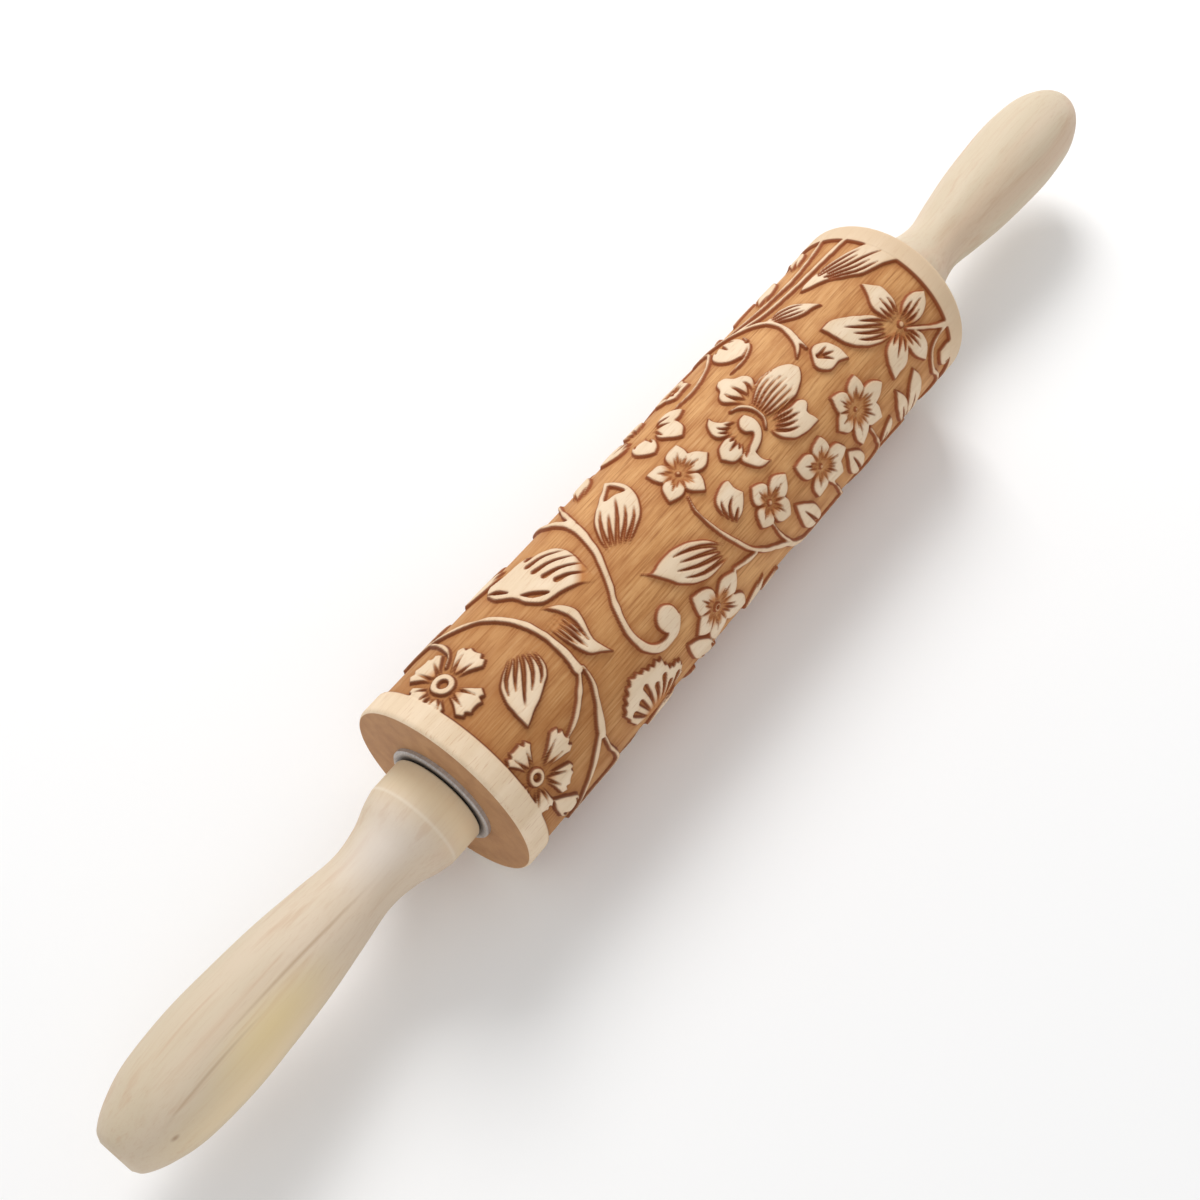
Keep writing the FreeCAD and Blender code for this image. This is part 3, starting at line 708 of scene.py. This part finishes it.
def make_roller():
    """The roller, with the relief cut into its side."""
    carve_pattern()
    burn, shade = finish_height_map()
    rings_x, rings_r, crisp = roller_rings()
    around = 2 * ROWS
    extra = len(rings_x) - COLUMNS

    def spread(field, rest):
        """One value for each ring and each place round it."""
        return np.vstack([np.tile(field.T, (1, 2)), np.full((extra, around), rest)])

    level = spread(height, 1.0)
    radius = rings_r[:, None] - RELIEF_DEPTH * (1 - level)
    angle = VIEW_ANGLE + (FIRST_S + np.arange(around) * STEP_S) / RADIUS
    x = np.repeat(rings_x[:, None], around, 1)
    grid = np.stack([x, radius * np.cos(angle), radius * np.sin(angle)], -1)
    roller = turned_mesh("carved_roller", grid, True, crisp)
    store(roller, "level", level)
    store(roller, "burn", spread(burn, 0.0))
    store(roller, "shade", spread(shade, 0.0))
    # The end faces, which get the darker end grain colour with painted shade
    end_grain = np.isclose(np.abs(rings_x), FACE) & (rings_r < RADIUS - RIM_DROP - ARRIS / 2)
    store(roller, "end_grain", np.repeat(end_grain, around))
    return roller


HANDLE_START = 92.5
HANDLE_SIDES = 144
GRIP_STEPS = 12  # rings from one point of the outline to the next

# Each point is its distance from the handle's start, and its radius
HANDLE_BORE = [(33.5, 4.1), (16.5, 4.1), (16.5, 6.01), (1.5, 6.01), (1.5, 8.2), (0.0, 8.2)]
HANDLE_COLLAR = [(0.0, 11.5), (0.15, 11.8), (0.5, 12.0), (4.5, 11.97), (8.7, 11.93)]
HANDLE_OUTLINE = [
    (9.0, 11.9), (12.5, 11.0), (18.0, 9.1), (25.5, 8.2), (35.5, 9.5), (47.0, 10.95), (59.0, 11.8),
    (71.0, 12.2), (83.0, 11.3), (90.5, 9.1), (95.1, 6.5), (96.5, 4.2),
]
HANDLE_END_RING = (96.5, 2.0)  # within the flat at the handle's end


def make_handle(name, side):
    """A turned handle. side is 1 for the right one and -1 for the left one."""
    grip = smooth(HANDLE_OUTLINE, GRIP_STEPS)
    outline = np.vstack([HANDLE_BORE, HANDLE_COLLAR, grip, HANDLE_END_RING])
    collar_arris = len(HANDLE_BORE) + len(HANDLE_COLLAR)
    end_arris = len(outline) - 2
    turn = np.linspace(0, 2 * math.pi, HANDLE_SIDES, endpoint=False)
    x = side * (HANDLE_START + outline[:, 0])
    y = outline[:, 1][:, None] * np.cos(turn)
    z = outline[:, 1][:, None] * np.sin(turn)
    grid = np.stack([np.repeat(x[:, None], HANDLE_SIDES, 1), y, z], -1)
    if side < 0:
        grid = grid[:, ::-1]
    return turned_mesh(name, grid, False, [*range(len(HANDLE_BORE)), collar_arris, end_arris])


# ---------------------------------------------------------------- materials


def colour(red, green, blue):
    """A linear colour from the usual 0 to 255 values."""
    parts = [value / 255 for value in (red, green, blue)]
    return tuple(p / 12.92 if p <= 0.04045 else ((p + 0.055) / 1.055) ** 2.4 for p in parts) + (1,)


# Places of the colour sockets among a Mix node's sockets
COLOUR_A = 6
COLOUR_B = 7
COLOUR_RESULT = 2


class Nodes:
    """A short way to build a material's nodes."""

    def __init__(self, name):
        self.material = bpy.data.materials.new(name)
        self.material.use_nodes = True
        self.tree = self.material.node_tree
        self.shader = self.tree.nodes["Principled BSDF"]

    def add(self, kind, **settings):
        """A new node with some of its settings."""
        node = self.tree.nodes.new(kind)
        for key, value in settings.items():
            setattr(node, key, value)
        return node

    def feed(self, source, target):
        """Joins a socket, or sets a plain value, on a target socket."""
        if isinstance(source, bpy.types.NodeSocket):
            self.tree.links.new(source, target)
        else:
            target.default_value = source

    def place(self, scale, shift=(0, 0, 0)):
        """Object coordinates, stretched and then shifted."""
        coordinates = self.add("ShaderNodeTexCoord")
        mapping = self.add("ShaderNodeMapping")
        self.feed(coordinates.outputs["Object"], mapping.inputs["Vector"])
        mapping.inputs["Scale"].default_value = scale
        mapping.inputs["Location"].default_value = shift
        return mapping.outputs["Vector"]

    def length(self, vector):
        """The length of a vector."""
        node = self.add("ShaderNodeVectorMath", operation="LENGTH")
        self.feed(vector, node.inputs[0])
        return node.outputs["Value"]

    def noise(self, scale, detail, rough, warp=0.0):
        """Noise with as many waves a metre along x, y and z as scale says."""
        node = self.add("ShaderNodeTexNoise")
        self.feed(self.place(scale), node.inputs["Vector"])
        node.inputs["Scale"].default_value = 1.0
        node.inputs["Detail"].default_value = detail
        node.inputs["Roughness"].default_value = rough
        node.inputs["Distortion"].default_value = warp
        return node.outputs["Fac"]

    def value(self, name):
        """The number that store() keeps on the mesh under this name."""
        return self.add("ShaderNodeAttribute", attribute_name=name).outputs["Fac"]

    def span(self, value, low, high, new_low=0.0, new_high=1.0, step="LINEAR"):
        """Maps low to high onto new_low to new_high, and clamps."""
        node = self.add("ShaderNodeMapRange", interpolation_type=step)
        self.feed(value, node.inputs["Value"])
        limits = {"From Min": low, "From Max": high, "To Min": new_low, "To Max": new_high}
        for key, number in limits.items():
            node.inputs[key].default_value = number
        return node.outputs["Result"]

    def times(self, a, b):
        """a times b."""
        node = self.add("ShaderNodeMath", operation="MULTIPLY")
        self.feed(a, node.inputs[0])
        self.feed(b, node.inputs[1])
        return node.outputs["Value"]

    def mix(self, share, a, b):
        """The colour a where share is 0, and b where it is 1."""
        node = self.add("ShaderNodeMix", data_type="RGBA")
        self.feed(share, node.inputs["Factor"])
        self.feed(a, node.inputs[COLOUR_A])
        self.feed(b, node.inputs[COLOUR_B])
        return node.outputs[COLOUR_RESULT]

    def spot(self, centre, size):
        """1 at a place given in metres, and falling smoothly to 0 at its sizes along x, y and z.

        A size of 1 is far wider than the pin, so the spot has no edge that way.
        """
        scale = [1 / one for one in size]
        shift = [-place / one for place, one in zip(centre, size)]
        distance = self.length(self.place(scale, shift))
        return self.span(distance, 0.0, 1.0, 1.0, 0.0, "SMOOTHSTEP")

    def radius(self):
        """Distance from the spin axis in metres."""
        return self.length(self.place((0, 1, 1)))

    def bump(self, value, strength, distance):
        """Fine grain on the surface, as high as distance in metres."""
        node = self.add("ShaderNodeBump")
        self.feed(value, node.inputs["Height"])
        node.inputs["Strength"].default_value = strength
        node.inputs["Distance"].default_value = distance
        self.feed(node.outputs["Normal"], self.shader.inputs["Normal"])

    def surface(self, base, rough, metal=0.0, shine=0.5):
        """Feeds the shader, and returns the finished material."""
        self.feed(base, self.shader.inputs["Base Color"])
        self.feed(rough, self.shader.inputs["Roughness"])
        self.feed(metal, self.shader.inputs["Metallic"])
        self.feed(shine, self.shader.inputs["Specular IOR Level"])
        return self.material


def carved_wood():
    """Pale turned beech, with the cut ground browned and the walls scorched, and painted shade round the
    raised shapes and at the ends.
    """
    n = Nodes("carved_beech")
    level = n.value("level")
    burn = n.value("burn")
    shade = n.value("shade")
    # Noises drawn out along the grain, which runs along x
    streaks = n.noise((90, 2100, 2100), 5, 0.65)
    broad = n.noise((16, 240, 240), 3, 0.5, 0.4)
    flecks = n.noise((260, 3600, 3600), 2, 0.5)
    blotches = n.noise((130, 260, 260), 3, 0.6)
    # Uncut wood
    pale = n.mix(n.span(broad, 0.35, 0.65), colour(239, 216, 187), colour(229, 204, 172))
    pale = n.mix(n.span(flecks, 0.57, 0.72, 0.0, 0.5), pale, colour(202, 158, 122))
    # Painted shade: the uncut wood darker at the far end's band
    shaded_far_end = n.spot((0.090, 0, 0), (0.014, 1, 1))
    pale = n.mix(n.times(shaded_far_end, 0.75), pale, colour(214, 186, 153))
    # Painted shade on the uncut wood near the edges of the raised shapes
    pale_with_edge_shade = n.mix(n.times(shade, 0.45), pale, colour(220, 166, 112))
    # The cut ground, darker with painted shade beside the raised shapes and towards the left end
    ground = n.mix(n.span(broad, 0.35, 0.65), colour(217, 163, 106), colour(200, 142, 86))
    ground = n.mix(n.span(streaks, 0.5, 0.68, 0.0, 0.7), ground, colour(150, 92, 50))
    ground = n.mix(n.span(streaks, 0.48, 0.3, 0.0, 0.5), ground, colour(230, 184, 130))
    ground = n.mix(n.span(blotches, 0.47, 0.72, 0.0, 0.45), ground, colour(168, 104, 54))
    # Painted shade on the ground beside the raised shapes
    ground = n.mix(n.times(shade, 0.72), ground, colour(156, 84, 36))
    # Painted shade: the ground, and the scorched walls below, darker towards the left end
    shaded_left_end = n.spot((-0.085, 0, 0), (0.07, 1, 1))
    ground = n.mix(n.times(shaded_left_end, 0.38), ground, colour(142, 86, 34))
    # From the ground up the wall to the uncut wood
    wood = n.mix(n.span(level, 0.08, 0.55), ground, colour(196, 130, 74))
    wood = n.mix(n.span(level, 0.5, 0.9), wood, pale_with_edge_shade)
    # The scorch is darker towards the left end too, as painted shade
    scorched = n.mix(shaded_left_end, colour(132, 54, 16), colour(98, 34, 6))
    wood = n.mix(n.span(burn, 0.1, 0.85, 0.0, 0.78), wood, scorched)
    # The end faces: darker end grain, with painted shade as they face away from the light
    end_grain_and_shade = n.mix(n.span(broad, 0.3, 0.7), colour(192, 146, 104), colour(176, 130, 92))
    wood = n.mix(n.value("end_grain"), wood, end_grain_and_shade)
    material = n.surface(wood, n.span(streaks, 0.3, 0.7, 0.62, 0.78), shine=0.25)
    n.bump(streaks, 0.3, 0.0002)
    return material


# Marks in the left handle's wood, and painted light on it: place and size along x, y and z in metres,
# strength and colour
HANDLE_MARKS_AND_LIGHT = [
    ((-0.096, 0, 0), (0.009, 1, 1), 0.62, (248, 225, 183)),  # yellower collar, also lightened as painted light against the roller's shadow
    ((-0.1012, 0, 0), (0.0007, 1, 1), 0.4, (244, 232, 214)),  # painted highlight along the collar's arris
    ((-0.112, -0.0010, 0.0090), (0.016, 0.0120, 0.0060), 0.8, (228, 216, 204)),  # painted highlight on the upper side of the neck
    ((-0.160, -0.0130, 0.0030), (0.040, 0.0110, 0.0110), 0.8, (242, 218, 176)),  # painted light, paler lower side
    ((-0.152, -0.0090, 0.0080), (0.022, 0.0080, 0.0080), 0.65, (238, 213, 156)),  # stain
    ((-0.140, -0.0042, 0.0095), (0.034, 0.0006, 0.0060), 0.55, (170, 138, 106)),  # long growth line
    ((-0.166, -0.0064, 0.0085), (0.018, 0.0005, 0.0060), 0.55, (170, 138, 106)),  # shorter growth line
    ((-0.180, -0.0088, 0.0060), (0.0018, 0.0009, 0.0009), 0.9, (146, 104, 74)),  # pin knot
]


def handle_wood():
    """Plain sanded beech with faint growth lines, a few marks of its own, and painted light on the
    collar, neck and side.
    """
    n = Nodes("turned_beech")
    patches = n.noise((11, 55, 55), 2, 0.5, 0.3)
    tint = n.noise((7, 80, 80), 2, 0.5, 0.2)
    lines = n.noise((4, 420, 420), 3, 0.6)
    grain = n.noise((30, 1300, 1300), 3, 0.6)
    flecks = n.noise((240, 3200, 3200), 2, 0.5)
    wood = n.mix(n.span(patches, 0.38, 0.62), colour(221, 202, 179), colour(211, 194, 168))
    wood = n.mix(n.span(tint, 0.5, 0.68, 0.0, 0.7), wood, colour(219, 189, 163))
    wood = n.mix(n.span(lines, 0.56, 0.68, 0.0, 0.45), wood, colour(202, 170, 140))
    wood = n.mix(n.span(grain, 0.5, 0.72, 0.0, 0.22), wood, colour(198, 164, 132))
    wood = n.mix(n.span(flecks, 0.6, 0.75, 0.0, 0.2), wood, colour(186, 150, 118))
    for centre, size, share, tone in HANDLE_MARKS_AND_LIGHT:
        wood = n.mix(n.times(n.spot(centre, size), share), wood, colour(*tone))
    material = n.surface(wood, n.span(grain, 0.3, 0.7, 0.5, 0.62), shine=0.3)
    n.bump(grain, 0.12, 0.0001)
    return material


def metal(name, light, dark, rough, scale=(900, 900, 900), metallic=1.0):
    """A metal with fine marks and slightly uneven colour and gloss."""
    n = Nodes(name)
    marks = n.noise(scale, 4, 0.6)
    tint = n.mix(n.span(marks, 0.3, 0.7), light, dark)
    material = n.surface(tint, n.span(marks, 0.3, 0.7, rough * 0.8, rough * 1.25), metallic)
    n.bump(marks, 0.08, 0.00005)
    return material


def cup_steel():
    """Pressed steel, with a painted shadow where it runs close round the handle's collar."""
    n = Nodes("pressed_cup_steel")
    marks = n.noise((300, 2200, 2200), 4, 0.6)
    tint = n.mix(n.span(marks, 0.3, 0.7), colour(196, 189, 184), colour(172, 165, 160))
    # Painted shadow of the gap round the collar: darker within 12.2 to 13 mm of the axis
    clear_of_gap_shadow = n.span(n.radius(), 0.0122, 0.0130)
    tint = n.mix(clear_of_gap_shadow, colour(112, 104, 99), tint)
    return n.surface(tint, n.span(marks, 0.3, 0.7, 0.4, 0.62), 0.6)


# ---------------------------------------------------------------- scene


def dress_metal_parts():
    """Gives every CAD node that stays its own material, by its name."""
    steel = metal("zinc_plated_steel", colour(196, 194, 188), colour(168, 166, 162), 0.34)
    pressed = metal("pressed_steel", colour(196, 189, 184), colour(172, 165, 160), 0.5,
                    (300, 2200, 2200), 0.6)
    ground_steel = metal("ground_steel", colour(206, 207, 208), colour(184, 186, 188), 0.2,
                         (400, 3000, 3000))
    ball_steel = metal("polished_steel", colour(224, 225, 226), colour(206, 208, 210), 0.1)
    brass = metal("turned_brass", colour(206, 168, 92), colour(180, 140, 70), 0.3, (300, 2600, 2600))
    looks = {
        "axle_rod": steel,
        "spacer_tube": pressed,
        "threaded_insert": brass,
        "jam_nut": steel,
        "thrust_washer": steel,
        "bearing_cup": cup_steel(),
        "bearing_outer_ring": ground_steel,
        "bearing_inner_ring": ground_steel,
        "bearing_balls": ball_steel,
        "bearing_cage": pressed,
        "bearing_outer_shield": pressed,
        "bearing_inner_shield": pressed,
    }
    for name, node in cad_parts.items():
        key = name.replace("left_", "").replace("right_", "")
        if key in looks:
            for holder in node.material_slots:
                holder.material = looks[key]


def add_light(name, place, size, power):
    """A square soft white light that faces the roller's centre."""
    lamp = bpy.data.lights.new(name, "AREA")
    lamp.shape = "SQUARE"
    lamp.size = size
    lamp.energy = power
    piece = bpy.data.objects.new(name, lamp)
    piece.location = place
    piece.rotation_euler = (-Vector(place)).to_track_quat("-Z", "Y").to_euler()
    bpy.context.scene.collection.objects.link(piece)


FLOOR_WIDTH = 6.0  # metres


def add_floor():
    """A plain pale floor that the roller rests on."""
    half = FLOOR_WIDTH / 2
    z = -RADIUS * MM
    mesh = bpy.data.meshes.new("floor")
    mesh.from_pydata([(-half, -half, z), (half, -half, z), (half, half, z), (-half, half, z)], [],
                     [(0, 1, 2, 3)])
    floor = finish_mesh("floor", mesh, False)
    n = Nodes("pale_floor")
    floor.data.materials.append(n.surface(colour(250, 250, 250), 0.9, shine=0.0))


SKY_STRENGTH = 0.56


def add_world():
    """Even white light from all round."""
    world = bpy.data.worlds.new("studio")
    world.use_nodes = True
    back = world.node_tree.nodes["Background"]
    back.inputs["Color"].default_value = (1, 1, 1, 1)
    back.inputs["Strength"].default_value = SKY_STRENGTH
    bpy.context.scene.world = world


SENSOR_WIDTH = 36  # millimetres
FOCAL_LENGTH = 46.8


def add_camera():
    """The camera, above the left handle's side and rolled slightly."""
    place = Vector((-0.1863, -0.1131, 0.3166))
    target = Vector((-0.0253, 0.0065, -0.0098))
    roll = math.radians(1.0)
    lens = bpy.data.cameras.new("camera")
    lens.sensor_width = SENSOR_WIDTH
    lens.lens = FOCAL_LENGTH
    lens.dof.use_dof = False
    camera = bpy.data.objects.new("camera", lens)
    turn = (target - place).to_track_quat("-Z", "Y").to_matrix().to_4x4()
    camera.matrix_world = Matrix.Translation(place) @ turn @ Matrix.Rotation(roll, 4, "Z")
    bpy.context.scene.collection.objects.link(camera)
    bpy.context.scene.camera = camera


def main():
    """Builds the whole scene round the CAD frame."""
    bpy.context.scene.view_settings.view_transform = "Standard"
    add_camera()
    add_world()
    add_floor()
    add_light("key", (0.55, 0.6, 0.8), size=0.5, power=8.6)
    add_light("fill", (-0.6, -0.3, 0.9), size=0.9, power=1.5)
    roller = make_roller()
    roller.data.materials.append(carved_wood())
    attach(roller, "roller_unit")
    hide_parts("roller")
    wood = handle_wood()
    for name, side in (("left", -1), ("right", 1)):
        handle = make_handle(name + "_turned_handle", side)
        handle.data.materials.append(wood)
        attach(handle, "handles_and_axle")
        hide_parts(name + "_handle")
    dress_metal_parts()


main()
